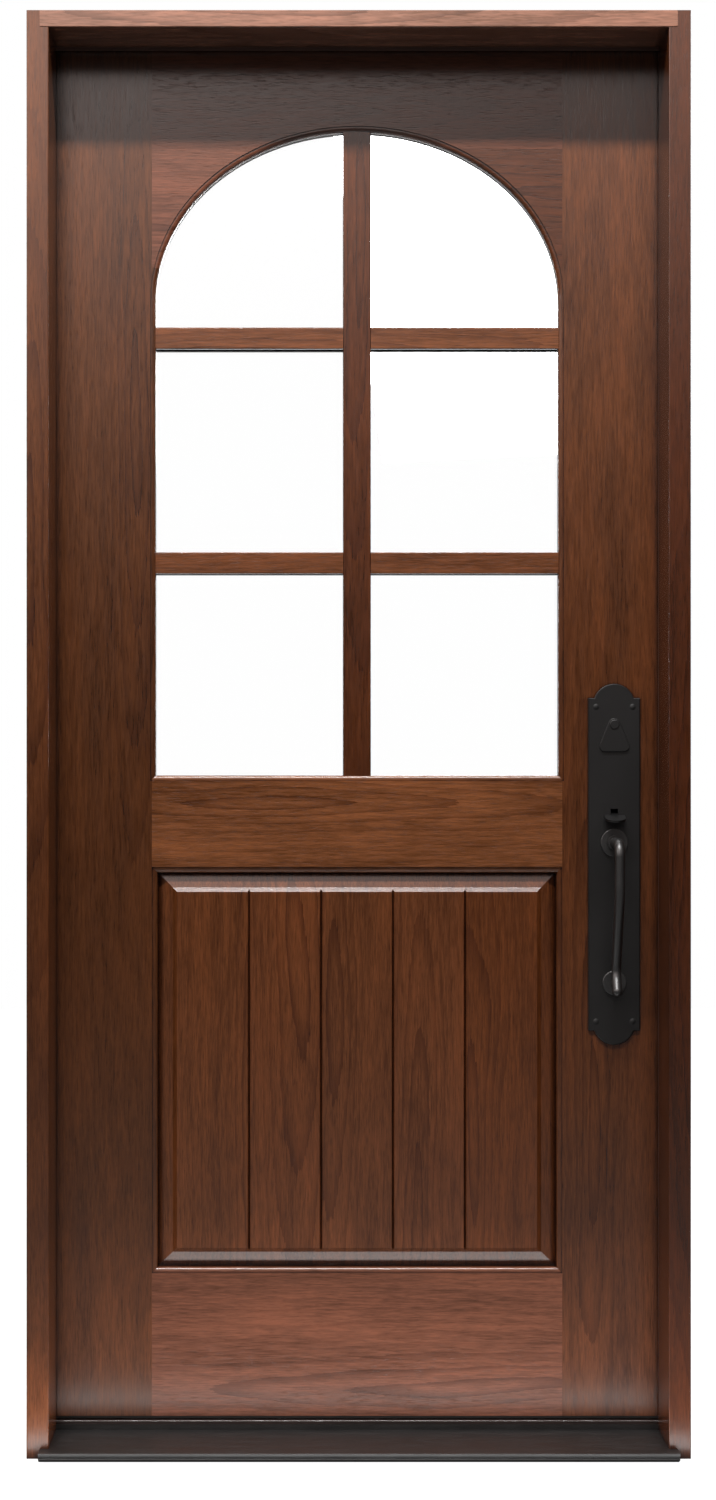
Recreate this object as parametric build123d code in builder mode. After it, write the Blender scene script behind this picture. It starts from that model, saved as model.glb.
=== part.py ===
from build123d import *
from math import cos, radians, sin
import os

# Inswing front door in its frame, seen from outside: +X right, +Y into the house, +Z up.
# The origin is at the underside of the sill, on the centre line, in the plane of the
# frame's outer edge. All sizes are in millimetres.

# Frame
unit_width = 952.5
unit_height = 2076.0
jamb_depth = 166.7
jamb_thickness = 31.75
rebate_depth = 12.7
strip_room = 9.2
head_thickness = 24.0
head_rebate = 11.0
head_step_start = 62.0
head_step_height = 3.0
arris_radius = 1.6

# Sill
nose_reach = 27.0
tread_front_height = 13.8
tread_back_height = 15.0
tread_wall = 2.2
nose_lip_reach = 9.0
nose_lip_height = 6.6
nose_groove_height = 2.6
riser_top = 22.5
riser_gap = 1.0
cap_top = 28.5
cap_tongue = 6.0

# Door leaf
side_gap = 3.25
top_gap = 3.0
door_bottom = 33.0
door_thickness = 44.5
stile_width = 150.5
lock_rail_bottom = 845.0
lock_rail_top = 972.0
bottom_rail_top = 244.0
top_rail_bottom = 1907.0
corner_foot = 1731.0
tenon_length = 45.0
tenon_thickness = 12.7
tenon_shoulder = 24.0
strip_reach = 13.5
corner_reach = 60.0

# Glass opening: a rectangle under half an ellipse
sticking_width = 8.4
strip_lap = 2.45
sticking_step = 2.0
sticking_radius = 5.5
arch_spring = 1682.0
arch_rise = 250.5
glass_setback = 12.7
glass_rebate = 13.0
pane_edge_gap = 2.0
pane_thickness = 4.0
pane_gap = 11.0
spacer_width = 10.0
stop_reveal = 4.0
stop_chamfer = 5.0
stop_chamfer_depth = 11.0

# Glazing bars
bar_projection = 8.2
vertical_bar_width = 41.0
cross_bar_height = 32.0
upper_bar_bottom = 1612.0
lower_bar_bottom = 1279.0
bar_edge_radius = 1.5
grid_thickness = 8.0
grid_inset = 3.0

# Raised panel of planks
panel_margin = 37.0
field_setback = 3.0
bevel_step_width = 6.5
bevel_step_height = 5.0
panel_tongue = 12.7
panel_groove_depth = 12.0
panel_edge_gap = 2.0
plank_count = 5
vee_half_width = 2.2
vee_depth = 3.0
plank_tongue_thickness = 8.0
plank_tongue_length = 6.0
plank_tongue_gap = 0.5

# Seals
seal_gap = 0.3
strip_width = 12.0
kerf_width = 3.0
kerf_depth = 10.0
kerf_offset = 1.2
barb_play = 0.1
sweep_inset = 4.0
sweep_base = 2.0
sweep_fin = 2.4

# Hinges
hinge_height = 101.6
leaf_thickness = 3.0
leaf_depth = 38.0
knuckle_radius = 6.35
knuckle_count = 5
knuckle_gap = 0.25
pin_radius = 3.5
pin_clearance = 0.05
pin_head_radius = 4.6
pin_head_height = 3.0
pin_standoff = 6.8
top_hinge_from_top = 229.0
bottom_hinge_from_bottom = 305.0

# Lock
backset = 74.0
case_length = 97.0
case_side_play = 0.95
case_wall = 1.6
case_bottom = 880.0
case_top = 1071.0
case_room = 0.5
hub_hole_radius = 6.0
tail_room_x = 6.0
tail_room_below = 4.0
tail_room_above = 13.0
face_plate_thickness = 3.0
face_plate_width = 28.0
face_plate_overhang = 12.0
latch_height = 20.0
latch_thickness = 13.9
latch_tail = 28.0
latch_throw = 12.7
latch_z = 919.0
latch_nose = 11.0
bolt_height = 26.0
bolt_thickness = 12.7
bolt_tail = 52.0
bolt_z = 1034.0
bolt_play = 0.25
bolt_inset = 0.2
strike_thickness = 2.0
strike_lip = 2.4
strike_margin = 9.0
strike_hole_play = 1.6
lip_foot = 3.6
cylinder_radius = 14.5
cylinder_length = 26.0
cylinder_play = 0.3
plug_radius = 6.4
plug_play = 0.05
cam_radius = 9.0
cam_depth = 2.0
key_width = 2.0
key_height = 8.0
key_depth = 5.0

# Outer handle plate and grip
plate_width = 76.4
plate_height = 533.0
plate_bottom = 582.5
plate_thickness = 4.0
plate_shoulder = 21.0
plate_arc_chord = 58.0
plate_edge_chamfer = 1.2
plate_screw_x = 27.0
plate_screw_from_end = 34.0
cover_pivot_z = 1055.5
cover_width = 44.0
cover_drop = 40.0
cover_cap_radius = 9.0
cover_thickness = 2.8
cover_rivet_radius = 3.0
cover_rivet_head = 7.0
cover_lift = 0.3
handle_gap = 0.3
thumb_width = 30.0
thumb_thickness = 3.2
thumb_tilt = 16.0
thumb_pivot_z = 923.5
thumb_neck_width = 10.0
thumb_neck_length = 11.5
thumb_pivot_depth = 3.6
thumb_pin_radius = 2.0
thumb_pin_length = 20.0
thumb_tail = 13.0
thumb_slot_width = 10.8
thumb_slot_height = 15.0
upper_rosette_radius = 20.4
upper_rosette_z = 881.0
lower_rosette_radius = 17.8
lower_rosette_z = 674.0
rosette_thickness = 3.4
grip_radius = 7.3
grip_reach = 70.0
grip_straight_z = 800.0
grip_foot_reach = 21.0
grip_foot_z = 692.0
grip_end_reach = 38.0
grip_end_z = 664.0
grip_ball_radius = 7.6
grip_bend_radius = 18.0
grip_waist_radius = 90.0
grip_foot_radius = 30.0
grip_post_radius = 5.8
grip_collar_radius = 10.4
grip_collar_length = 6.0
grip_stud_radius = 4.0
grip_stud_length = 12.0

# Inner handle
inner_plate_width = 56.0
inner_plate_bottom = 855.0
inner_plate_top = 1099.0
inner_plate_thickness = 3.5
inner_screw_inset = 13.0
lever_hub_radius = 11.0
lever_neck_radius = 8.0
lever_reach = 46.0
lever_length = 108.0
lever_height = 19.0
lever_depth = 11.0
spindle_side = 8.0
spindle_play = 0.3
spindle_collar_radius = 9.0
spindle_past_mid = 1.5
lever_collar_length = 10.5
lever_hub_length = 6.0
lever_round = 4.5
lever_end_round = 3.0
inner_corner = 8.0
rosette_round = 1.2
thumb_tip = 41.0
cover_corner = 8.0
cover_edge_round = 0.8
rivet_dome = 1.6
rivet_dome_round = 1.2
rivet_room_radius = 5.5
rivet_room_depth = 3.0
lug_inner = 6.2
lug_outer = 10.0
lug_reach = 4.2
rivet_flange_radius = 4.5
rivet_flange = 1.4
turn_spindle_length = 20.0
turn_rose_thickness = 3.5
turn_corner = 3.0
turn_edge_round = 1.5
turn_radius = 11.0
turn_reach = 20.0
turn_width = 7.0
turn_length = 34.0
turn_spindle_radius = 3.5

# Screws
frame_screw_head = 4.4
frame_screw_shank = 2.2
frame_screw_length = 48.0
hinge_screw_head = 4.2
hinge_screw_shank = 2.1
jamb_screw_length = 14.0
door_screw_length = 30.0
plate_screw_head = 4.6
plate_screw_shank = 2.0
plate_screw_length = 26.0
screw_dome = 1.4

# Places worked out from the sizes above
half_unit = unit_width / 2
stop_face = half_unit - jamb_thickness
stop_depth = jamb_depth - door_thickness - strip_room
rebate_face = stop_face + rebate_depth
head_under = unit_height - head_thickness
head_rebate_z = head_under + head_rebate
door_half = rebate_face - side_gap
door_top = head_rebate_z - top_gap
door_back = jamb_depth
door_front = door_back - door_thickness
door_mid = (door_front + door_back) / 2
stile_inner = door_half - stile_width
glass_half_width = stile_inner + strip_lap - sticking_width
glass_bottom = lock_rail_top + sticking_width
glass_face = door_front + glass_setback
pane_outer_back = glass_face + pane_thickness
pane_inner_front = pane_outer_back + pane_gap
pane_inner_back = pane_inner_front + pane_thickness
panel_half_sight = stile_inner - sticking_width
panel_low_sight = bottom_rail_top + sticking_width
panel_high_sight = lock_rail_bottom - sticking_width
panel_mid_z = (bottom_rail_top + lock_rail_bottom) / 2
lock_x = door_half - backset
case_thickness = max(latch_thickness, bolt_thickness) + 2 * (case_side_play + case_wall)
plate_front = door_front - plate_thickness
plate_top = plate_bottom + plate_height
inner_plate_back = door_back + inner_plate_thickness
thumb_room_x = thumb_pin_length / 2 + 1
seal_thickness = door_front - stop_depth - seal_gap
riser_front = stop_depth - riser_gap
hinge_pin_x = -(rebate_face + door_half) / 2
hinge_pin_y = door_back + pin_standoff
hinge_middles = (
    door_bottom + bottom_hinge_from_bottom,
    (door_bottom + bottom_hinge_from_bottom + door_top - top_hinge_from_top) / 2,
    door_top - top_hinge_from_top,
)
hinge_names = ("bottom", "middle", "top")

os.makedirs("parts", exist_ok=True)


def facing(y):
    """A plane parallel to the door at depth y, with x to the right and y up."""
    return Plane(origin=(0, y, 0), x_dir=(1, 0, 0), z_dir=(0, -1, 0))


def across(x):
    """A plane square to the frame at x, with x pointing into the house and y up."""
    return Plane(origin=(x, 0, 0), x_dir=(0, 1, 0), z_dir=(1, 0, 0))


def write(part, name):
    """Label a finished piece and write it to its own file."""
    part.label = name
    export_step(part, f"parts/{name}.step")


def block(x_low, x_high, y_low, y_high, z_low, z_high, mode=Mode.ADD):
    """A box given by its faces, inside the part that is being built."""
    with BuildSketch(Plane.XY.offset(z_low)) as foot:
        with Locations(((x_low + x_high) / 2, (y_low + y_high) / 2)):
            Rectangle(x_high - x_low, y_high - y_low)
    extrude(foot.sketch, amount=z_high - z_low, mode=mode)


def panel_shape(points, y_low, y_high, mode=Mode.ADD):
    """A prism between two depths on an outline of (x, z) points."""
    with BuildSketch(facing(y_low)) as outline:
        with BuildLine():
            Polyline(*points, close=True)
        make_face()
    extrude(outline.sketch, amount=y_low - y_high, mode=mode)


def arch_outline(grow):
    """The glass opening's outline, larger by grow all round, for a BuildLine."""
    half = glass_half_width + grow
    foot = glass_bottom - grow
    Line((-half, foot), (half, foot))
    Line((half, foot), (half, arch_spring))
    EllipticalCenterArc((0, arch_spring), half, arch_rise + grow, start_angle=0, arc_size=180)
    Line((-half, arch_spring), (-half, foot))


def arch_prism(grow, y_low, y_high, mode=Mode.ADD):
    """A prism on the glass opening's outline between two depths."""
    with BuildSketch(facing(y_low)) as outline:
        with BuildLine():
            arch_outline(grow)
        make_face()
    extrude(outline.sketch, amount=y_low - y_high, mode=mode)


def countersunk_screw(head_radius, shank_radius, length, dome=0.0):
    """A screw with its head's rim at z = 0 and its point at -length."""
    cone = head_radius - shank_radius
    with BuildPart() as screw:
        with BuildSketch(Plane.XZ):
            with BuildLine():
                Polyline((head_radius, 0), (shank_radius, -cone), (shank_radius, -length + 2 * shank_radius),
                         (0, -length), (0, dome))
                if dome:
                    ThreePointArc((0, dome), (head_radius * 0.55, dome * 0.75), (head_radius, 0))
                else:
                    Line((0, dome), (head_radius, 0))
            make_face()
        revolve(axis=Axis.Z)
    return screw.part


# Frame

def head_section():
    """Outline of the head's section, as (y, z) points."""
    return [
        (0, head_under),
        (head_step_start, head_under),
        (head_step_start, head_under + head_step_height),
        (stop_depth, head_under + head_step_height),
        (stop_depth, head_rebate_z),
        (jamb_depth, head_rebate_z),
        (jamb_depth, unit_height),
        (0, unit_height),
    ]


def sill_notch_section():
    """What the sill takes out of a jamb's stop, as (y, z) points."""
    slope = (tread_back_height - tread_front_height) / (riser_front + nose_reach)
    start_height = tread_front_height + slope * nose_reach
    return [
        (0, 0),
        (0, start_height),
        (riser_front, tread_back_height),
        (riser_front, riser_top),
        (stop_depth, riser_top),
        (stop_depth, 0),
    ]


frame_screw = countersunk_screw(frame_screw_head, frame_screw_shank, frame_screw_length)
frame_screw_depths = (30.0, 88.0)
frame_screw_heights = ((head_under + unit_height) / 2, 6.0)
frame_screw_places = []
for side in (-1, 1):
    for screw_y in frame_screw_depths:
        for screw_z in frame_screw_heights:
            frame_screw_places.append(Location((side * half_unit, screw_y, screw_z), (0, side * 90, 0)))

with BuildPart() as frame_screws:
    with Locations(*frame_screw_places):
        add(frame_screw)
write(frame_screws.part, "frame_screws")

jamb_screw = countersunk_screw(hinge_screw_head, hinge_screw_shank, jamb_screw_length)
door_screw = countersunk_screw(hinge_screw_head, hinge_screw_shank, door_screw_length)
leaf_screw_rows = (-38.0, -13.0, 13.0, 38.0)
leaf_screw_offsets = (10.0, 24.0, 10.0, 24.0)
jamb_leaf_screw_places = []
door_leaf_screw_places = []
for middle in hinge_middles:
    for row, offset in zip(leaf_screw_rows, leaf_screw_offsets):
        screw_y = door_back - leaf_depth + offset
        jamb_leaf_screw_places.append(Location((-rebate_face, screw_y, middle + row), (0, 90, 0)))
        door_leaf_screw_places.append(Location((-door_half, screw_y, middle + row), (0, -90, 0)))

with BuildPart() as jamb_hinge_screws:
    with Locations(*jamb_leaf_screw_places):
        add(jamb_screw)
write(jamb_hinge_screws.part, "jamb_hinge_screws")

with BuildPart() as door_hinge_screws:
    with Locations(*door_leaf_screw_places):
        add(door_screw)
write(door_hinge_screws.part, "door_hinge_screws")

strike_low = case_bottom - face_plate_overhang + strike_margin
strike_high = case_top + face_plate_overhang - strike_margin
strike_front = door_mid - face_plate_width / 2
strike_screw_places = []
for screw_z in (strike_low + strike_margin, strike_high - strike_margin):
    strike_screw_places.append(Location((rebate_face, door_mid, screw_z), (0, -90, 0)))

with BuildPart() as strike_screws:
    with Locations(*strike_screw_places):
        add(jamb_screw)
write(strike_screws.part, "strike_screws")


def bolt_window(z, height, thickness, x_low, x_high, play):
    """Cut a bolt's opening, larger than the bolt by play all round."""
    half_y = thickness / 2 + play
    half_z = height / 2 + play
    block(x_low, x_high, door_mid - half_y, door_mid + half_y, z - half_z, z + half_z, mode=Mode.SUBTRACT)


for side, name in ((-1, "jamb_left"), (1, "jamb_right")):
    with BuildPart() as jamb:
        with BuildSketch(Plane.XY) as plan:
            with BuildLine():
                Polyline(
                    (side * stop_face, 0),
                    (side * half_unit, 0),
                    (side * half_unit, jamb_depth),
                    (side * rebate_face, jamb_depth),
                    (side * rebate_face, stop_depth),
                    (side * stop_face, stop_depth),
                    close=True,
                )
            make_face()
            arrises = plan.vertices().filter_by(lambda corner: corner.Y < 1 or abs(corner.X) < stop_face + 1)
            fillet(arrises, arris_radius)
        extrude(amount=unit_height)
        notch_x = min(side * stop_face, side * rebate_face)
        for section in (head_section(), sill_notch_section()):
            with BuildSketch(across(notch_x)):
                with BuildLine():
                    Polyline(*section, close=True)
                make_face()
            extrude(amount=rebate_depth, mode=Mode.SUBTRACT)
        kerf_near = side * (rebate_face - kerf_offset)
        kerf_far = side * (rebate_face - kerf_offset - kerf_width)
        block(min(kerf_near, kerf_far), max(kerf_near, kerf_far), stop_depth - kerf_depth, stop_depth,
              cap_top, head_under, mode=Mode.SUBTRACT)
        with Locations(*[place for place in frame_screw_places if place.position.X * side > 0]):
            add(frame_screw, mode=Mode.SUBTRACT)
        if side < 0:
            for middle in hinge_middles:
                block(-rebate_face - leaf_thickness, -rebate_face, jamb_depth - leaf_depth, jamb_depth,
                      middle - hinge_height / 2, middle + hinge_height / 2, mode=Mode.SUBTRACT)
            with Locations(*jamb_leaf_screw_places):
                add(jamb_screw, mode=Mode.SUBTRACT)
        else:
            block(rebate_face, rebate_face + strike_thickness, strike_front, jamb_depth,
                  strike_low, strike_high, mode=Mode.SUBTRACT)
            pocket_end = door_half + latch_throw + 2 * strike_hole_play
            bolt_window(latch_z, latch_height, latch_thickness, rebate_face, pocket_end, strike_hole_play)
            bolt_window(bolt_z, bolt_height, bolt_thickness, rebate_face, half_unit, strike_hole_play)
            with Locations(*strike_screw_places):
                add(jamb_screw, mode=Mode.SUBTRACT)
    write(jamb.part, name)

with BuildPart() as head_jamb:
    with BuildSketch(across(-rebate_face)):
        with BuildLine():
            Polyline(*head_section(), close=True)
        make_face()
    extrude(amount=2 * rebate_face)
    front_arris = head_jamb.edges().filter_by(Axis.X).filter_by_position(Axis.Y, -0.1, 0.1)
    fillet(front_arris.sort_by(Axis.Z)[0], arris_radius)
    block(-rebate_face, rebate_face, stop_depth - kerf_depth, stop_depth,
          head_rebate_z - kerf_offset - kerf_width, head_rebate_z - kerf_offset, mode=Mode.SUBTRACT)
    with Locations(*frame_screw_places):
        add(frame_screw, mode=Mode.SUBTRACT)
write(head_jamb.part, "head_jamb")

with BuildPart() as strike_plate:
    block(rebate_face, rebate_face + strike_thickness, strike_front, jamb_depth + strike_lip,
          strike_low, strike_high)
    bolt_shapes = (
        (latch_z, latch_height, latch_thickness),
        (bolt_z, bolt_height, bolt_thickness),
    )
    for z, height, thickness in bolt_shapes:
        bolt_window(z, height, thickness, rebate_face, rebate_face + strike_thickness, strike_hole_play)
    with Locations(*strike_screw_places):
        add(jamb_screw, mode=Mode.SUBTRACT)
write(strike_plate.part, "strike_plate")

# Sill: an aluminium tread over a composite base, with a wood cap in its channel

nose_back = -nose_reach + nose_lip_reach
nose_wall = -nose_reach + 2 * tread_wall + 1.3
groove_back = nose_wall - tread_wall
groove_foot = nose_lip_height
groove_head = nose_lip_height + nose_groove_height
lip_front = -nose_reach + 0.7
channel_floor = riser_top - cap_tongue
channel_under = channel_floor - tread_wall
channel_front = riser_front + tread_wall
channel_back = jamb_depth - tread_wall
tread_under_front = tread_front_height - tread_wall
tread_under_back = tread_back_height - tread_wall

with BuildPart() as sill_tread:
    with BuildSketch(across(-rebate_face)):
        with BuildLine():
            Polyline(
                (-nose_reach, groove_head),
                (groove_back, groove_head),
                (groove_back, groove_foot),
                (lip_front, groove_foot),
                (lip_front, lip_foot),
                (nose_back, lip_foot),
                (nose_back, lip_foot + tread_wall),
                (nose_wall, lip_foot + tread_wall),
                (nose_wall, tread_under_front),
                (riser_front, tread_under_back),
                (channel_front, channel_under),
                (jamb_depth, channel_under),
                (jamb_depth, riser_top),
                (channel_back, riser_top),
                (channel_back, channel_floor),
                (channel_front, channel_floor),
                (channel_front, riser_top),
                (riser_front, riser_top),
                (riser_front, tread_back_height),
                (-nose_reach, tread_front_height),
                close=True,
            )
        make_face()
    extrude(amount=2 * rebate_face)
    long_edges = sill_tread.edges().filter_by(Axis.X)
    nose_edges = long_edges.filter_by_position(Axis.Y, -nose_reach - 0.1, lip_front + 0.1)
    fillet(nose_edges, 1.0)
write(sill_tread.part, "sill_tread")

with BuildPart() as sill_base:
    with BuildSketch(across(-rebate_face)):
        with BuildLine():
            Polyline(
                (nose_back, 0),
                (nose_back, lip_foot + tread_wall),
                (nose_wall, lip_foot + tread_wall),
                (nose_wall, tread_under_front),
                (riser_front, tread_under_back),
                (channel_front, channel_under),
                (jamb_depth, channel_under),
                (jamb_depth, 0),
                close=True,
            )
        make_face()
    extrude(amount=2 * rebate_face)
    with Locations(*frame_screw_places):
        add(frame_screw, mode=Mode.SUBTRACT)
write(sill_base.part, "sill_base")

with BuildPart() as threshold_cap:
    with BuildSketch(across(-rebate_face)) as cap_section:
        with BuildLine():
            Polyline(
                (stop_depth, riser_top),
                (channel_front, riser_top),
                (channel_front, channel_floor),
                (channel_back, channel_floor),
                (channel_back, riser_top),
                (jamb_depth, riser_top),
                (jamb_depth, cap_top),
                (stop_depth, cap_top),
                close=True,
            )
        make_face()
        fillet(cap_section.vertices().group_by(Axis.Y)[-1], arris_radius)
    extrude(amount=2 * rebate_face)
write(threshold_cap.part, "threshold_cap")

# Weatherstrips: a bulb on the stop's back face, with a barb in the kerf

strip_fold = head_rebate_z - strip_width
barb_low = kerf_offset + barb_play
barb_high = kerf_offset + kerf_width - barb_play
barb_tip = stop_depth - kerf_depth + 0.5
strip_back = stop_depth + seal_thickness

for side, name in ((-1, "weatherstrip_left"), (1, "weatherstrip_right")):
    with BuildPart() as strip:
        with BuildSketch(Plane.XY.offset(cap_top)) as strip_plan:
            with BuildLine():
                Polyline(
                    (side * rebate_face, stop_depth),
                    (side * (rebate_face - barb_low), stop_depth),
                    (side * (rebate_face - barb_low), barb_tip),
                    (side * (rebate_face - barb_high), barb_tip),
                    (side * (rebate_face - barb_high), stop_depth),
                    (side * (rebate_face - strip_width), stop_depth),
                    (side * (rebate_face - strip_width), strip_back),
                    (side * rebate_face, strip_back),
                    close=True,
                )
            make_face()
            fillet(strip_plan.vertices().group_by(Axis.Y)[-1], seal_thickness * 0.45)
        extrude(amount=strip_fold - cap_top)
    write(strip.part, name)

with BuildPart() as weatherstrip_head:
    with BuildSketch(across(-rebate_face)) as strip_section:
        with BuildLine():
            Polyline(
                (stop_depth, head_rebate_z),
                (stop_depth, head_rebate_z - barb_low),
                (barb_tip, head_rebate_z - barb_low),
                (barb_tip, head_rebate_z - barb_high),
                (stop_depth, head_rebate_z - barb_high),
                (stop_depth, strip_fold),
                (strip_back, strip_fold),
                (strip_back, head_rebate_z),
                close=True,
            )
        make_face()
        fillet(strip_section.vertices().group_by(Axis.X)[-1], seal_thickness * 0.45)
    extrude(amount=2 * rebate_face)
write(weatherstrip_head.part, "weatherstrip_head")

# Hinges: the jamb leaf has the odd knuckles and the door leaf the even ones

knuckle_pitch = hinge_height / knuckle_count

for middle, place in zip(hinge_middles, hinge_names):
    hinge_foot = middle - hinge_height / 2
    for is_door, name in ((False, f"jamb_leaf_{place}"), (True, f"door_leaf_{place}")):
        bore = pin_radius + (pin_clearance if is_door else 0)
        leaf_front = -door_half if is_door else -rebate_face - leaf_thickness
        screw = door_screw if is_door else jamb_screw
        screw_places = door_leaf_screw_places if is_door else jamb_leaf_screw_places
        with BuildPart() as leaf:
            block(leaf_front, leaf_front + leaf_thickness, door_back - leaf_depth, door_back,
                  hinge_foot, hinge_foot + hinge_height)
            for index in range(1 if is_door else 0, knuckle_count, 2):
                knuckle_foot = hinge_foot + index * knuckle_pitch + knuckle_gap / 2
                knuckle_height = knuckle_pitch - knuckle_gap
                block(leaf_front, leaf_front + leaf_thickness, door_back, hinge_pin_y,
                      knuckle_foot, knuckle_foot + knuckle_height)
                with BuildSketch(Plane.XY.offset(knuckle_foot)):
                    with Locations((hinge_pin_x, hinge_pin_y)):
                        Circle(knuckle_radius)
                extrude(amount=knuckle_height)
            with BuildSketch(Plane.XY.offset(hinge_foot)):
                with Locations((hinge_pin_x, hinge_pin_y)):
                    Circle(bore)
            extrude(amount=hinge_height, mode=Mode.SUBTRACT)
            with Locations(*screw_places):
                add(screw, mode=Mode.SUBTRACT)
        write(leaf.part, name)

with BuildPart() as hinge_pins:
    for middle in hinge_middles:
        hinge_foot = middle - hinge_height / 2
        with BuildSketch(Plane.XY.offset(hinge_foot)):
            with Locations((hinge_pin_x, hinge_pin_y)):
                Circle(pin_radius)
        extrude(amount=hinge_height)
        with BuildSketch(Plane.XY.offset(hinge_foot + hinge_height)):
            with Locations((hinge_pin_x, hinge_pin_y)):
                Circle(pin_head_radius)
        extrude(amount=pin_head_height)
    tops = hinge_pins.faces().filter_by(Plane.XY).filter_by(lambda face: face.normal_at().Z > 0)
    fillet(tops.edges(), 1.4)
write(hinge_pins.part, "hinge_pins")


# Openings in the door leaf, cut from every member with the same solids

with BuildPart() as glass_void:
    arch_prism(0, door_front, glass_face)
    arch_prism(sticking_width, door_front - 1, door_front + sticking_step)
    ledge = glass_void.faces().filter_by(Plane.XZ).filter_by_position(
        Axis.Y, door_front + sticking_step - 0.1, door_front + sticking_step + 0.1)
    fillet(ledge.sort_by(SortBy.AREA)[-1].inner_wires()[0].edges(), sticking_radius)

with BuildPart() as glass_rebate_void:
    arch_prism(glass_rebate, glass_face, door_back + 1)


def rectangle_prism(grow, y_low, y_high):
    """A prism on the panel opening's outline, larger by grow all round."""
    half = panel_half_sight + grow
    low = panel_low_sight - grow
    high = panel_high_sight + grow
    panel_shape([(-half, low), (half, low), (half, high), (-half, high)], y_low, y_high)


with BuildPart() as panel_void:
    rectangle_prism(0, door_front, door_back)
    rectangle_prism(sticking_width, door_front - 1, door_front + sticking_step)
    rectangle_prism(sticking_width, door_back - sticking_step, door_back + 1)
    for ledge_y in (door_front + sticking_step, door_back - sticking_step):
        flat_faces = panel_void.faces().filter_by(Plane.XZ)
        ledge = flat_faces.filter_by_position(Axis.Y, ledge_y - 0.1, ledge_y + 0.1)
        fillet(ledge.sort_by(SortBy.AREA)[-1].inner_wires()[0].edges(), sticking_radius)
    rectangle_prism(panel_groove_depth, door_mid - panel_tongue / 2, door_mid + panel_tongue / 2)


# Stiles and rails: their corners at each opening are mitred across the moulded strip

glass_corner_z = lock_rail_top + sticking_width - sticking_radius
strip_inner = stile_inner - strip_reach
tenons = {
    "top_rail": (top_rail_bottom + tenon_shoulder, door_top - tenon_shoulder),
    "lock_rail": (lock_rail_bottom + tenon_shoulder / 2, lock_rail_top - tenon_shoulder / 2),
    "bottom_rail": (door_bottom + tenon_shoulder, bottom_rail_top - tenon_shoulder),
}
rail_outlines = {
    "top_rail": [
        (-stile_inner, top_rail_bottom),
        (stile_inner, top_rail_bottom),
        (stile_inner, door_top),
        (-stile_inner, door_top),
    ],
    "lock_rail": [
        (-strip_inner, lock_rail_bottom - strip_reach),
        (strip_inner, lock_rail_bottom - strip_reach),
        (stile_inner, lock_rail_bottom),
        (stile_inner, glass_corner_z),
        (strip_inner, glass_corner_z + strip_reach),
        (-strip_inner, glass_corner_z + strip_reach),
        (-stile_inner, glass_corner_z),
        (-stile_inner, lock_rail_bottom),
    ],
    "bottom_rail": [
        (-stile_inner, door_bottom),
        (stile_inner, door_bottom),
        (stile_inner, bottom_rail_top),
        (strip_inner, bottom_rail_top + strip_reach),
        (-strip_inner, bottom_rail_top + strip_reach),
        (-stile_inner, bottom_rail_top),
    ],
}
stile_outline = [
    (door_half, door_bottom),
    (door_half, door_top),
    (stile_inner, door_top),
    (stile_inner, corner_foot),
    (strip_inner, corner_foot),
    (strip_inner, glass_corner_z + strip_reach),
    (stile_inner, glass_corner_z),
    (stile_inner, lock_rail_bottom),
    (strip_inner, lock_rail_bottom - strip_reach),
    (strip_inner, bottom_rail_top + strip_reach),
    (stile_inner, bottom_rail_top),
    (stile_inner, door_bottom),
]
tenon_front = door_mid - tenon_thickness / 2
tenon_back = door_mid + tenon_thickness / 2

outer_screw_places = []
for screw_z in (plate_bottom + plate_screw_from_end, plate_top - plate_screw_from_end):
    for screw_x in (lock_x - plate_screw_x, lock_x + plate_screw_x):
        outer_screw_places.append(Location((screw_x, plate_front, screw_z), (90, 0, 0)))
outer_screw = countersunk_screw(plate_screw_head, plate_screw_shank, plate_screw_length, screw_dome)

lock_screw = countersunk_screw(frame_screw_head, frame_screw_shank, jamb_screw_length)
lock_screw_places = []
for screw_z in (case_bottom - face_plate_overhang / 2, case_top + face_plate_overhang / 2):
    lock_screw_places.append(Location((door_half, door_mid, screw_z), (0, 90, 0)))
for screw_z in (inner_plate_bottom + inner_screw_inset, inner_plate_top - inner_screw_inset):
    lock_screw_places.append(Location((lock_x, inner_plate_back, screw_z), (-90, 0, 0)))

case_front_y = door_mid - case_thickness / 2
case_back_y = door_mid + case_thickness / 2
face_plate_x = door_half - face_plate_thickness
case_end = face_plate_x - case_length


def round_hole(x, z, radius, y_low, y_high, mode=Mode.SUBTRACT):
    """A round bar or hole along the depth, between two depths."""
    with BuildSketch(facing(y_low)) as ring:
        with Locations((x, z)):
            Circle(radius)
    extrude(ring.sketch, amount=y_low - y_high, mode=mode)


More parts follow.
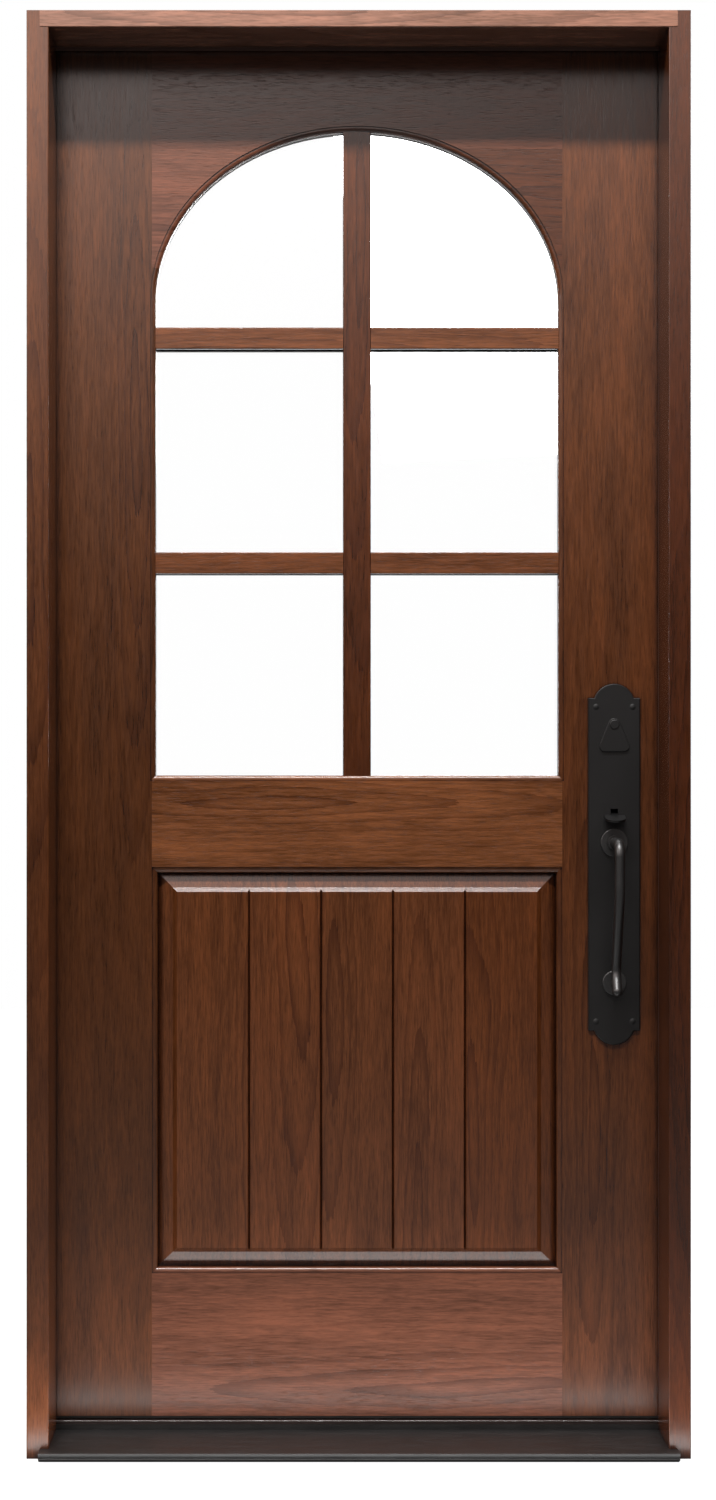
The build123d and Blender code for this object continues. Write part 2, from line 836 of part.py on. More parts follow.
for side, name in ((-1, "stile_left"), (1, "stile_right")):
    with BuildPart() as stile:
        panel_shape([(side * x, z) for x, z in stile_outline], door_front, door_back)
        add(glass_void.part, mode=Mode.SUBTRACT)
        add(glass_rebate_void.part, mode=Mode.SUBTRACT)
        add(panel_void.part, mode=Mode.SUBTRACT)
        for low, high in tenons.values():
            tenon_ends = (side * stile_inner, side * (stile_inner + tenon_length))
            block(min(tenon_ends), max(tenon_ends), tenon_front, tenon_back, low, high, mode=Mode.SUBTRACT)
        if side < 0:
            for middle in hinge_middles:
                block(-door_half, -door_half + leaf_thickness, door_back - leaf_depth, door_back,
                      middle - hinge_height / 2, middle + hinge_height / 2, mode=Mode.SUBTRACT)
            with Locations(*door_leaf_screw_places):
                add(door_screw, mode=Mode.SUBTRACT)
        else:
            block(case_end - case_room, face_plate_x, case_front_y, case_back_y,
                  case_bottom - case_room, case_top + case_room, mode=Mode.SUBTRACT)
            block(face_plate_x, door_half, door_mid - face_plate_width / 2, door_mid + face_plate_width / 2,
                  case_bottom - face_plate_overhang, case_top + face_plate_overhang, mode=Mode.SUBTRACT)
            round_hole(lock_x, bolt_z, cylinder_radius + cylinder_play, door_front, case_front_y)
            round_hole(lock_x, bolt_z, spindle_collar_radius + spindle_play, case_back_y, door_back)
            round_hole(lock_x, latch_z, spindle_collar_radius + spindle_play, case_back_y, door_back)
            block(lock_x - thumb_room_x, lock_x + thumb_room_x, door_front, case_front_y,
                  latch_z - thumb_slot_height, latch_z + thumb_slot_height, mode=Mode.SUBTRACT)
            round_hole(lock_x, cover_pivot_z, rivet_room_radius, door_front, door_front + rivet_room_depth)
            for stud_z in (upper_rosette_z, lower_rosette_z):
                round_hole(lock_x, stud_z, grip_stud_radius, door_front, door_front + grip_stud_length)
            with Locations(*outer_screw_places):
                add(outer_screw, mode=Mode.SUBTRACT)
            with Locations(*lock_screw_places):
                add(lock_screw, mode=Mode.SUBTRACT)
    write(stile.part, name)

for name, outline in rail_outlines.items():
    low, high = tenons[name]
    with BuildPart() as rail:
        panel_shape(outline, door_front, door_back)
        add(glass_void.part, mode=Mode.SUBTRACT)
        add(glass_rebate_void.part, mode=Mode.SUBTRACT)
        add(panel_void.part, mode=Mode.SUBTRACT)
        for side in (-1, 1):
            tenon_ends = (side * stile_inner, side * (stile_inner + tenon_length))
            block(min(tenon_ends), max(tenon_ends), tenon_front, tenon_back, low, high)
    write(rail.part, name)

for side, name in ((-1, "arch_corner_left"), (1, "arch_corner_right")):
    with BuildPart() as corner:
        block(min(side * corner_reach, side * stile_inner), max(side * corner_reach, side * stile_inner),
              door_front, door_back, corner_foot, top_rail_bottom)
        add(glass_void.part, mode=Mode.SUBTRACT)
        add(glass_rebate_void.part, mode=Mode.SUBTRACT)
    write(corner.part, name)

# Raised panel: two bevelled sections crossed, so that their corners mitre, then cut into planks

field_front = door_front + field_setback
field_back = door_back - field_setback
tongue_front = door_mid - panel_tongue / 2


def bevel_section(sight, field):
    """The panel's section as (distance from its middle, depth) points."""
    edge = sight + panel_groove_depth - panel_edge_gap
    front = [
        (-edge, tongue_front),
        (-sight, tongue_front),
        (-field - bevel_step_width, field_front + bevel_step_height),
        (-field, field_front),
        (field, field_front),
        (field + bevel_step_width, field_front + bevel_step_height),
        (sight, tongue_front),
        (edge, tongue_front),
    ]
    back = [(-u, door_front + door_back - y) for u, y in front]
    return front + back


panel_edge_x = panel_half_sight + panel_groove_depth - panel_edge_gap
panel_half_z = (panel_high_sight - panel_low_sight) / 2
panel_edge_z = panel_half_z + panel_groove_depth - panel_edge_gap
field_half_x = stile_inner - panel_margin
field_half_z = (lock_rail_bottom - bottom_rail_top) / 2 - panel_margin
panel_foot = panel_mid_z - panel_edge_z
panel_head = panel_mid_z + panel_edge_z

with BuildPart() as raised_panel:
    with BuildSketch(Plane.XY.offset(panel_foot)):
        with BuildLine():
            Polyline(*bevel_section(panel_half_sight, field_half_x), close=True)
        make_face()
    extrude(amount=2 * panel_edge_z)
    with BuildSketch(across(-panel_edge_x)):
        with BuildLine():
            section = bevel_section(panel_half_z, field_half_z)
            Polyline(*[(y, panel_mid_z + u) for u, y in section], close=True)
        make_face()
    extrude(amount=2 * panel_edge_x, mode=Mode.INTERSECT)

plank_pitch = 2 * field_half_x / plank_count
plank_joints = [-field_half_x + plank_pitch * index for index in range(1, plank_count)]
plank_edges = [-panel_edge_x] + plank_joints + [panel_edge_x]


def vee_cut(joint_x, direction):
    """Chamfer a plank's long edges at a joint, on both faces."""
    for face_y, outward in ((field_front, -1), (field_back, 1)):
        with BuildSketch(Plane.XY.offset(panel_foot)) as notch:
            with BuildLine():
                Polyline(
                    (joint_x, face_y - outward * vee_depth),
                    (joint_x, face_y + outward),
                    (joint_x + direction * vee_half_width, face_y + outward),
                    (joint_x + direction * vee_half_width, face_y),
                    close=True,
                )
            make_face()
        extrude(notch.sketch, amount=2 * panel_edge_z, mode=Mode.SUBTRACT)


for index in range(plank_count):
    left, right = plank_edges[index], plank_edges[index + 1]
    with BuildPart() as plank:
        add(raised_panel.part)
        block(left, right, door_front, door_back, panel_foot, panel_head, mode=Mode.INTERSECT)
        if index > 0:
            vee_cut(left, 1)
            block(left, left + plank_tongue_length + plank_tongue_gap, door_mid - plank_tongue_thickness / 2,
                  door_mid + plank_tongue_thickness / 2, panel_foot, panel_head, mode=Mode.SUBTRACT)
        if index < plank_count - 1:
            vee_cut(right, -1)
            block(right, right + plank_tongue_length, door_mid - plank_tongue_thickness / 2,
                  door_mid + plank_tongue_thickness / 2, panel_foot, panel_head)
    write(plank.part, f"panel_plank_{index + 1}")

# Sealed glass unit, its bars on both faces, and the inner glazing stops

pane_grow = glass_rebate - pane_edge_gap
spacer_inner = pane_grow - spacer_width
bar_spans = ((vertical_bar_width / 2, stile_inner), (-stile_inner, -vertical_bar_width / 2))
cross_bar_feet = (lower_bar_bottom, upper_bar_bottom)
stop_outer = glass_half_width + glass_rebate
stop_foot = glass_bottom - glass_rebate

with BuildPart() as glass_outer:
    arch_prism(pane_grow, glass_face, pane_outer_back)
write(glass_outer.part, "glass_outer")

with BuildPart() as glass_inner:
    arch_prism(pane_grow, pane_inner_front, pane_inner_back)
write(glass_inner.part, "glass_inner")

grid_front = (pane_outer_back + pane_inner_front - grid_thickness) / 2
grid_half = vertical_bar_width / 2 - grid_inset

with BuildPart() as glass_spacer:
    block(-grid_half, grid_half, grid_front, grid_front + grid_thickness, stop_foot, door_top)
    for foot in cross_bar_feet:
        block(-stile_inner, stile_inner, grid_front, grid_front + grid_thickness,
              foot + grid_inset, foot + cross_bar_height - grid_inset)
    arch_prism(spacer_inner + 1, pane_outer_back, pane_inner_front, mode=Mode.INTERSECT)
    with BuildPart(mode=Mode.PRIVATE) as spacer_frame:
        arch_prism(pane_grow - 0.5, pane_outer_back, pane_inner_front)
        arch_prism(spacer_inner, pane_outer_back, pane_inner_front, mode=Mode.SUBTRACT)
    add(spacer_frame.part)
write(glass_spacer.part, "glass_spacer")

with BuildPart() as stop_ring:
    arch_prism(glass_rebate, pane_inner_back, door_back)
    arch_prism(stop_reveal, pane_inner_back, door_back, mode=Mode.SUBTRACT)
    room_face = stop_ring.faces().filter_by(Plane.XZ).sort_by(Axis.Y)[-1]
    chamfer(room_face.inner_wires()[0].edges(), stop_chamfer, length2=stop_chamfer_depth,
            reference=room_face)

mitre_reach = 2 * glass_rebate
stop_regions = {
    "glass_stop_bottom": [
        (-stop_outer, stop_foot),
        (stop_outer, stop_foot),
        (stop_outer - mitre_reach, stop_foot + mitre_reach),
        (-stop_outer + mitre_reach, stop_foot + mitre_reach),
    ],
    "glass_stop_left": [
        (-stop_outer, stop_foot),
        (-stop_outer + mitre_reach, stop_foot + mitre_reach),
        (-stop_outer + mitre_reach, arch_spring),
        (-stop_outer, arch_spring),
    ],
    "glass_stop_right": [
        (stop_outer, stop_foot),
        (stop_outer, arch_spring),
        (stop_outer - mitre_reach, arch_spring),
        (stop_outer - mitre_reach, stop_foot + mitre_reach),
    ],
    "glass_stop_arch": [
        (-stop_outer, arch_spring),
        (stop_outer, arch_spring),
        (stop_outer, door_top),
        (-stop_outer, door_top),
    ],
}
for name, region in stop_regions.items():
    with BuildPart() as glass_stop:
        add(stop_ring.part)
        panel_shape(region, pane_inner_back, door_back, mode=Mode.INTERSECT)
    write(glass_stop.part, name)

for layer, front, proud in (("outer", glass_face - bar_projection, -1), ("inner", pane_inner_back, 1)):
    back = front + bar_projection
    face_y = front if proud < 0 else back
    with BuildPart() as bar_limit:
        if proud < 0:
            add(glass_void.part)
        else:
            arch_prism(stop_reveal, front, back)
    with BuildPart() as bar:
        block(-vertical_bar_width / 2, vertical_bar_width / 2, front, back, lock_rail_top, door_top)
        long_edges = bar.edges().filter_by(Axis.Z).filter_by_position(Axis.Y, face_y - 0.1, face_y + 0.1)
        fillet(long_edges, bar_edge_radius)
        add(bar_limit.part, mode=Mode.INTERSECT)
    write(bar.part, f"bar_{layer}_vertical")
    with BuildPart() as cross_bars:
        for foot in cross_bar_feet:
            for left, right in bar_spans:
                block(left, right, front, back, foot, foot + cross_bar_height)
        long_edges = cross_bars.edges().filter_by(Axis.X)
        fillet(long_edges.filter_by_position(Axis.Y, face_y - 0.1, face_y + 0.1), bar_edge_radius)
        add(bar_limit.part, mode=Mode.INTERSECT)
    write(cross_bars.part, f"bars_{layer}_cross")

# Sweep under the door

sweep_front = door_front + sweep_inset
sweep_back = door_back - sweep_inset
sweep_foot = cap_top + seal_gap
fin_starts = (sweep_front, (sweep_front + sweep_back - sweep_fin) / 2, sweep_back - sweep_fin)

with BuildPart() as door_sweep:
    block(-door_half + 1, door_half - 1, sweep_front, sweep_back, door_bottom - sweep_base, door_bottom)
    for start in fin_starts:
        block(-door_half + 1, door_half - 1, start, start + sweep_fin, sweep_foot, door_bottom - sweep_base)
write(door_sweep.part, "door_sweep")

# Mortise lock: case, face plate and bolts


with BuildPart() as lock_case:
    block(case_end, face_plate_x, case_front_y, case_back_y, case_bottom, case_top)
    block(case_end + case_wall, face_plate_x - case_wall, case_front_y + case_wall, case_back_y - case_wall,
          case_bottom + case_wall, case_top - case_wall, mode=Mode.SUBTRACT)
    block(face_plate_x - case_wall, face_plate_x, door_mid - latch_thickness / 2 - bolt_play,
          door_mid + latch_thickness / 2 + bolt_play, latch_z - latch_height / 2 - bolt_play,
          latch_z + latch_height / 2 + bolt_play, mode=Mode.SUBTRACT)
    block(face_plate_x - case_wall, face_plate_x, door_mid - bolt_thickness / 2 - bolt_play,
          door_mid + bolt_thickness / 2 + bolt_play, bolt_z - bolt_height / 2 - bolt_play,
          bolt_z + bolt_height / 2 + bolt_play, mode=Mode.SUBTRACT)
    round_hole(lock_x, bolt_z, cylinder_radius, case_front_y, case_front_y + case_wall)
    block(lock_x - tail_room_x, lock_x + tail_room_x, case_front_y, case_front_y + case_wall,
          thumb_pivot_z - tail_room_below, thumb_pivot_z + tail_room_above, mode=Mode.SUBTRACT)
    round_hole(lock_x, latch_z, hub_hole_radius, case_back_y - case_wall, case_back_y)
    round_hole(lock_x, bolt_z, turn_spindle_radius + plug_play, case_back_y - case_wall, case_back_y)
write(lock_case.part, "lock_case")

with BuildPart() as face_plate:
    block(face_plate_x, door_half, door_mid - face_plate_width / 2, door_mid + face_plate_width / 2,
          case_bottom - face_plate_overhang, case_top + face_plate_overhang)
    block(face_plate_x, door_half, door_mid - latch_thickness / 2 - bolt_play,
          door_mid + latch_thickness / 2 + bolt_play, latch_z - latch_height / 2 - bolt_play,
          latch_z + latch_height / 2 + bolt_play, mode=Mode.SUBTRACT)
    block(face_plate_x, door_half, door_mid - bolt_thickness / 2 - bolt_play,
          door_mid + bolt_thickness / 2 + bolt_play, bolt_z - bolt_height / 2 - bolt_play,
          bolt_z + bolt_height / 2 + bolt_play, mode=Mode.SUBTRACT)
    with Locations(*lock_screw_places):
        add(lock_screw, mode=Mode.SUBTRACT)
write(face_plate.part, "face_plate")

with BuildPart() as lock_screws:
    with Locations(*lock_screw_places):
        add(lock_screw)
write(lock_screws.part, "lock_screws")


with BuildPart() as latch_bolt:
    tip = door_half - bolt_inset
    with BuildSketch(Plane.XY.offset(latch_z - latch_height / 2)) as latch_outline:
        with BuildLine():
            Polyline(
                (face_plate_x - latch_tail, door_mid - latch_thickness / 2),
                (tip - latch_nose, door_mid - latch_thickness / 2),
                (tip - 1, door_mid + latch_thickness / 2 - 2),
                (tip, door_mid + latch_thickness / 2 - 1),
                (tip, door_mid + latch_thickness / 2),
                (face_plate_x - latch_tail, door_mid + latch_thickness / 2),
                close=True,
            )
        make_face()
    extrude(latch_outline.sketch, amount=latch_height)
write(latch_bolt.part, "latch_bolt")

with BuildPart() as dead_bolt:
    block(face_plate_x - bolt_tail, door_half - bolt_inset, door_mid - bolt_thickness / 2,
          door_mid + bolt_thickness / 2, bolt_z - bolt_height / 2, bolt_z + bolt_height / 2)
    chamfer(dead_bolt.faces().sort_by(Axis.X)[-1].edges(), 0.8)
write(dead_bolt.part, "dead_bolt")

cylinder_back = plate_front + cylinder_length

with BuildPart() as cylinder:
    round_hole(lock_x, bolt_z, cylinder_radius, plate_front, cylinder_back, mode=Mode.ADD)
    round_hole(lock_x, bolt_z, plug_radius + plug_play, plate_front, cylinder_back)
write(cylinder.part, "cylinder")

with BuildPart() as key_plug:
    round_hole(lock_x, bolt_z, plug_radius, plate_front, cylinder_back, mode=Mode.ADD)
    round_hole(lock_x, bolt_z, cam_radius, cylinder_back + plug_play, cylinder_back + plug_play + cam_depth,
               mode=Mode.ADD)
    round_hole(lock_x, bolt_z, plug_radius, cylinder_back, cylinder_back + plug_play + cam_depth,
               mode=Mode.ADD)
    block(lock_x - key_width / 2, lock_x + key_width / 2, plate_front, plate_front + key_depth,
          bolt_z - key_height / 2, bolt_z + key_height / 2, mode=Mode.SUBTRACT)
write(key_plug.part, "key_plug")

# Outer handle set: back plate, cover, thumb piece and grip

thumb_pivot_y = door_front + thumb_pivot_depth
plate_half = plate_width / 2

with BuildPart() as outer_plate:
    with BuildSketch(facing(plate_front)) as plate_outline:
        with Locations((lock_x, (plate_bottom + plate_top) / 2)):
            Rectangle(plate_width, plate_height - 2 * plate_shoulder)
        with BuildLine():
            top_edge = plate_top - plate_shoulder
            foot_edge = plate_bottom + plate_shoulder
            Line((lock_x - plate_half, foot_edge), (lock_x - plate_half, top_edge))
            Line((lock_x - plate_half, top_edge), (lock_x - plate_arc_chord / 2, top_edge))
            ThreePointArc((lock_x - plate_arc_chord / 2, top_edge), (lock_x, plate_top),
                          (lock_x + plate_arc_chord / 2, top_edge))
            Line((lock_x + plate_arc_chord / 2, top_edge), (lock_x + plate_half, top_edge))
            Line((lock_x + plate_half, top_edge), (lock_x + plate_half, foot_edge))
            Line((lock_x + plate_half, foot_edge), (lock_x + plate_arc_chord / 2, foot_edge))
            ThreePointArc((lock_x + plate_arc_chord / 2, foot_edge), (lock_x, plate_bottom),
                          (lock_x - plate_arc_chord / 2, foot_edge))
            Line((lock_x - plate_arc_chord / 2, foot_edge), (lock_x - plate_half, foot_edge))
        make_face()
    extrude(plate_outline.sketch, amount=-plate_thickness)
    chamfer(outer_plate.faces().sort_by(Axis.Y)[0].edges(), plate_edge_chamfer)
    for lug_x in (lock_x - lug_outer, lock_x + lug_inner):
        block(lug_x, lug_x + lug_outer - lug_inner, door_front, thumb_pivot_y + lug_reach,
              thumb_pivot_z - lug_reach, thumb_pivot_z + lug_reach)
    block(lock_x - thumb_slot_width / 2, lock_x + thumb_slot_width / 2, plate_front, door_front,
          thumb_pivot_z - thumb_slot_height / 2, thumb_pivot_z + thumb_slot_height / 2, mode=Mode.SUBTRACT)
    with BuildSketch(across(lock_x - lug_outer)) as pin_hole:
        with Locations((thumb_pivot_y, thumb_pivot_z)):
            Circle(thumb_pin_radius + pin_clearance)
    extrude(pin_hole.sketch, amount=2 * lug_outer, mode=Mode.SUBTRACT)
    round_hole(lock_x, cover_pivot_z, cover_rivet_radius + pin_clearance, plate_front, door_front)
    round_hole(lock_x, bolt_z, cylinder_radius, plate_front, door_front)
    for stud_z in (upper_rosette_z, lower_rosette_z):
        round_hole(lock_x, stud_z, grip_stud_radius, plate_front, door_front)
    with Locations(*outer_screw_places):
        add(outer_screw, mode=Mode.SUBTRACT)
write(outer_plate.part, "outer_plate")

with BuildPart() as outer_plate_screws:
    with Locations(*outer_screw_places):
        add(outer_screw)
write(outer_plate_screws.part, "outer_plate_screws")

with BuildPart() as grip:
    with BuildLine(across(lock_x)) as grip_path:
        FilletPolyline(
            (plate_front, upper_rosette_z),
            (plate_front - grip_reach, upper_rosette_z),
            (plate_front - grip_reach, grip_straight_z),
            (plate_front - grip_foot_reach, grip_foot_z),
            (plate_front - grip_end_reach, grip_end_z),
            radius=[grip_bend_radius, grip_waist_radius, grip_foot_radius],
        )
    with BuildSketch(facing(plate_front)) as grip_round:
        with Locations((lock_x, upper_rosette_z)):
            Circle(grip_radius)
    sweep(grip_round.sketch, path=grip_path.line)
    with Locations((lock_x, plate_front - grip_end_reach, grip_end_z)):
        Sphere(grip_ball_radius)
    round_hole(lock_x, upper_rosette_z, upper_rosette_radius, plate_front - rosette_thickness, plate_front,
               mode=Mode.ADD)
    round_hole(lock_x, lower_rosette_z, lower_rosette_radius, plate_front - rosette_thickness, plate_front,
               mode=Mode.ADD)
    rims = grip.faces().filter_by(Plane.XZ).filter_by_position(
        Axis.Y, plate_front - rosette_thickness - 0.1, plate_front - rosette_thickness + 0.1)
    fillet([edge for face in rims for edge in face.outer_wire().edges()], rosette_round)
    round_hole(lock_x, upper_rosette_z, grip_collar_radius,
               plate_front - rosette_thickness - grip_collar_length, plate_front, mode=Mode.ADD)
    round_hole(lock_x, lower_rosette_z, grip_post_radius, plate_front - grip_foot_reach - grip_post_radius,
               plate_front, mode=Mode.ADD)
    for stud_z in (upper_rosette_z, lower_rosette_z):
        round_hole(lock_x, stud_z, grip_stud_radius, plate_front, door_front + grip_stud_length,
                   mode=Mode.ADD)
write(grip.part, "grip")

thumb_plane = Plane(
    origin=(lock_x, thumb_pivot_y, thumb_pivot_z),
    x_dir=(1, 0, 0),
    z_dir=(0, -sin(radians(thumb_tilt)), cos(radians(thumb_tilt))),
)

with BuildPart() as thumb_piece:
    with BuildSketch(thumb_plane.offset(-thumb_thickness / 2)) as thumb_outline:
        with Locations((0, (thumb_tail - thumb_neck_length) / 2)):
            Rectangle(thumb_neck_width, thumb_tail + thumb_neck_length)
        with Locations((0, -(thumb_tip - thumb_width / 2 + thumb_neck_length) / 2)):
            Rectangle(thumb_width, thumb_tip - thumb_width / 2 - thumb_neck_length)
        with Locations((0, -thumb_tip + thumb_width / 2)):
            Circle(thumb_width / 2)
    extrude(thumb_outline.sketch, amount=thumb_thickness)
    with BuildSketch(across(lock_x - thumb_pin_length / 2)) as thumb_pin:
        with Locations((thumb_pivot_y, thumb_pivot_z)):
            Circle(thumb_pin_radius)
    extrude(thumb_pin.sketch, amount=thumb_pin_length)
write(thumb_piece.part, "thumb_piece")

cover_back = plate_front - cover_lift
cover_front = cover_back - cover_thickness

with BuildPart() as keyhole_cover:
    with BuildSketch(facing(cover_front)) as cover_outline:
        with Locations((lock_x, cover_pivot_z)):
            Circle(cover_cap_radius)
        with Locations((lock_x - cover_width / 2 + cover_corner, cover_pivot_z - cover_drop + cover_corner),
                       (lock_x + cover_width / 2 - cover_corner, cover_pivot_z - cover_drop + cover_corner)):
            Circle(cover_corner)
        make_hull()
    extrude(cover_outline.sketch, amount=-cover_thickness)
    fillet(keyhole_cover.faces().sort_by(Axis.Y)[0].edges(), cover_edge_round)
    round_hole(lock_x, cover_pivot_z, cover_rivet_head, cover_front - rivet_dome, cover_front, mode=Mode.ADD)
    fillet(keyhole_cover.faces().sort_by(Axis.Y)[0].edges(), rivet_dome_round)
    round_hole(lock_x, cover_pivot_z, cover_rivet_radius, cover_front, door_front + cover_lift, mode=Mode.ADD)
    round_hole(lock_x, cover_pivot_z, rivet_flange_radius, door_front + cover_lift,
               door_front + cover_lift + rivet_flange, mode=Mode.ADD)
write(keyhole_cover.part, "keyhole_cover")

# Inner handle set: plate, lever and thumb turn

with BuildPart() as inner_plate:
    with BuildSketch(facing(door_back)) as inner_outline:
        with Locations((lock_x, (inner_plate_bottom + inner_plate_top) / 2)):
            RectangleRounded(inner_plate_width, inner_plate_top - inner_plate_bottom, inner_corner)
    extrude(inner_outline.sketch, amount=-inner_plate_thickness)
    chamfer(inner_plate.faces().sort_by(Axis.Y)[-1].edges(), plate_edge_chamfer)
    round_hole(lock_x, latch_z, spindle_collar_radius + plug_play, door_back, inner_plate_back)
    round_hole(lock_x, bolt_z, turn_spindle_radius + plug_play, door_back, inner_plate_back)
    with Locations(*lock_screw_places):
        add(lock_screw, mode=Mode.SUBTRACT)
write(inner_plate.part, "inner_plate")

lever_seat = inner_plate_back + handle_gap
lever_far = inner_plate_back + lever_reach

with BuildPart() as inner_lever:
    block(lock_x - spindle_side / 2, lock_x + spindle_side / 2, door_mid - spindle_past_mid, lever_seat,
          latch_z - spindle_side / 2, latch_z + spindle_side / 2)
    round_hole(lock_x, latch_z, spindle_collar_radius, lever_seat - lever_collar_length, lever_seat,
               mode=Mode.ADD)
    round_hole(lock_x, latch_z, lever_hub_radius, lever_seat, lever_seat + lever_hub_length, mode=Mode.ADD)
    round_hole(lock_x, latch_z, lever_neck_radius, lever_seat, lever_far, mode=Mode.ADD)
    with BuildSketch(across(lock_x - lever_length)) as lever_section:
        with Locations((lever_far - lever_depth / 2, latch_z)):
            RectangleRounded(lever_depth, lever_height, lever_round)
    extrude(lever_section.sketch, amount=lever_length + lever_neck_radius)
    fillet(inner_lever.faces().sort_by(Axis.X)[0].edges(), lever_end_round)
write(inner_lever.part, "inner_lever")

turn_far = inner_plate_back + turn_reach

with BuildPart() as thumb_turn:
    round_hole(lock_x, bolt_z, turn_spindle_radius, lever_seat - turn_spindle_length, lever_seat,
               mode=Mode.ADD)
    round_hole(lock_x, bolt_z, turn_radius, lever_seat, lever_seat + turn_rose_thickness, mode=Mode.ADD)
    with BuildSketch(facing(lever_seat)) as turn_outline:
        with Locations((lock_x, bolt_z)):
            RectangleRounded(turn_width, turn_length, turn_corner)
    extrude(turn_outline.sketch, amount=lever_seat - turn_far)
    fillet(thumb_turn.faces().sort_by(Axis.Y)[-1].edges(), turn_edge_round)
write(thumb_turn.part, "thumb_turn")
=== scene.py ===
"""A wooden front door in its frame: materials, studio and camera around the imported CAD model."""

from math import radians

import bpy
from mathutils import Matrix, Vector

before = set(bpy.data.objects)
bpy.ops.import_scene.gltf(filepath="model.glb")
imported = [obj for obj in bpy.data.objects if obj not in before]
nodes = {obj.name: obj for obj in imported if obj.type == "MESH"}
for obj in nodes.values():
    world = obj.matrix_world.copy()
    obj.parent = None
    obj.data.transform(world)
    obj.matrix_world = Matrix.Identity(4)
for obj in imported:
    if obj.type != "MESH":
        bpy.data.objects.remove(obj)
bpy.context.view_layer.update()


# Colours

WHITE = (1, 1, 1, 1)


def colour(red, green, blue):
    """A colour given as it looks on screen, 0 to 255, turned into Blender's linear values."""
    linear = []
    for value in (red, green, blue):
        value /= 255
        linear.append(value / 12.92 if value <= 0.04045 else ((value + 0.055) / 1.055) ** 2.4)
    return (*linear, 1.0)


def tinted(shade, tint):
    """A screen colour with each channel scaled, as a linear colour."""
    return colour(*[value * factor for value, factor in zip(shade, tint)])


def lifted(shade, gain, extra):
    """A linear colour made lighter, and never brighter than white."""
    return tuple(min(1.0, value * gain + extra) for value in shade[:3]) + (1.0,)


# Node helpers


class Graph:
    """A node tree with short ways to add and join nodes."""

    def __init__(self, tree):
        self.tree = tree

    def add(self, kind, **settings):
        node = self.tree.nodes.new(kind)
        for key, value in settings.items():
            setattr(node, key, value)
        return node

    def feed(self, socket, value):
        """Put a constant on a socket, or join another node's output to it."""
        if isinstance(value, (int, float, tuple)):
            socket.default_value = value
        else:
            self.tree.links.new(value, socket)

    def math(self, operation, first, second=None):
        node = self.add("ShaderNodeMath", operation=operation)
        self.feed(node.inputs[0], first)
        if second is not None:
            self.feed(node.inputs[1], second)
        return node.outputs[0]

    def spread(self, source, low, high, out_low=0.0, out_high=1.0, curve="LINEAR"):
        """Map low to high onto out_low to out_high, and hold the ends."""
        node = self.add("ShaderNodeMapRange", interpolation_type=curve)
        self.feed(node.inputs["Value"], source)
        sockets = ("From Min", "From Max", "To Min", "To Max")
        for socket, value in zip(sockets, (low, high, out_low, out_high)):
            self.feed(node.inputs[socket], value)
        return node.outputs["Result"]


class Shader(Graph):
    """A material's nodes, joined to its Principled surface."""

    def __init__(self, name):
        self.material = bpy.data.materials.new(name)
        self.material.use_nodes = True
        super().__init__(self.material.node_tree)
        self.surface = self.tree.nodes["Principled BSDF"]

    def position(self):
        return self.add("ShaderNodeTexCoord").outputs["Object"]

    def mapping(self, source, scale=(1, 1, 1), offset=(0, 0, 0), turn=(0, 0, 0)):
        node = self.add("ShaderNodeMapping")
        sockets = ("Vector", "Location", "Rotation", "Scale")
        for socket, value in zip(sockets, (source, offset, turn, scale)):
            self.feed(node.inputs[socket], value)
        return node.outputs["Vector"]

    def noise(self, source, scale, detail=3.0, roughness=0.55, offset=(0, 0, 0)):
        """Noise with its own scale on each axis."""
        node = self.add("ShaderNodeTexNoise")
        sockets = ("Vector", "Scale", "Detail", "Roughness")
        values = (self.mapping(source, scale, offset), 1.0, detail, roughness)
        for socket, value in zip(sockets, values):
            self.feed(node.inputs[socket], value)
        return node.outputs["Fac"]

    def ramp(self, source, stops):
        node = self.add("ShaderNodeValToRGB")
        elements = node.color_ramp.elements
        while len(elements) < len(stops):
            elements.new(0.5)
        for element, (place, shade) in zip(elements, stops):
            element.position = place
            element.color = shade
        self.feed(node.inputs["Fac"], source)
        return node.outputs["Color"]

    def mix(self, blend, factor, first, second):
        node = self.add("ShaderNodeMix", data_type="RGBA", blend_type=blend)
        for socket, value in zip((0, 6, 7), (factor, first, second)):
            self.feed(node.inputs[socket], value)
        return node.outputs[2]

    def occlusion_shade(self, reach, low, high, deepest=0.0):
        """Ambient occlusion as a mask for painted shade: 1 on an open face, falling to deepest
        inside a groove as wide as the reach.
        """
        node = self.add("ShaderNodeAmbientOcclusion", samples=6)
        self.feed(node.inputs["Distance"], reach)
        return self.spread(node.outputs["AO"], low, high, deepest)

    def bump(self, height, strength, distance):
        node = self.add("ShaderNodeBump")
        sockets = ("Height", "Strength", "Distance")
        for socket, value in zip(sockets, (height, strength, distance)):
            self.feed(node.inputs[socket], value)
        self.set(Normal=node.outputs["Normal"])

    def set(self, **values):
        for name, value in values.items():
            self.feed(self.surface.inputs[name.replace("_", " ")], value)


# Wood: fibres and pores run along one axis, and each member is cut from another part of the log

ALONG = {"x": (0, radians(90), 0), "z": (0, 0, 0)}
LOG_STEP = (3.71, 1.93, 7.37)

# Each layer of the grain: its scale on the three axes, its detail and its roughness
FIGURE = ((9.0, 9.0, 1.4), 2.0, 0.5)
MOTTLE = ((320.0, 320.0, 24.0), 4.0, 0.62)
FIBRE = ((700.0, 700.0, 44.0), 3.0, 0.6)
HUE = ((30.0, 30.0, 3.4), 3.0, 0.55)
PORE = ((800.0, 800.0, 60.0), 1.0, 0.5)

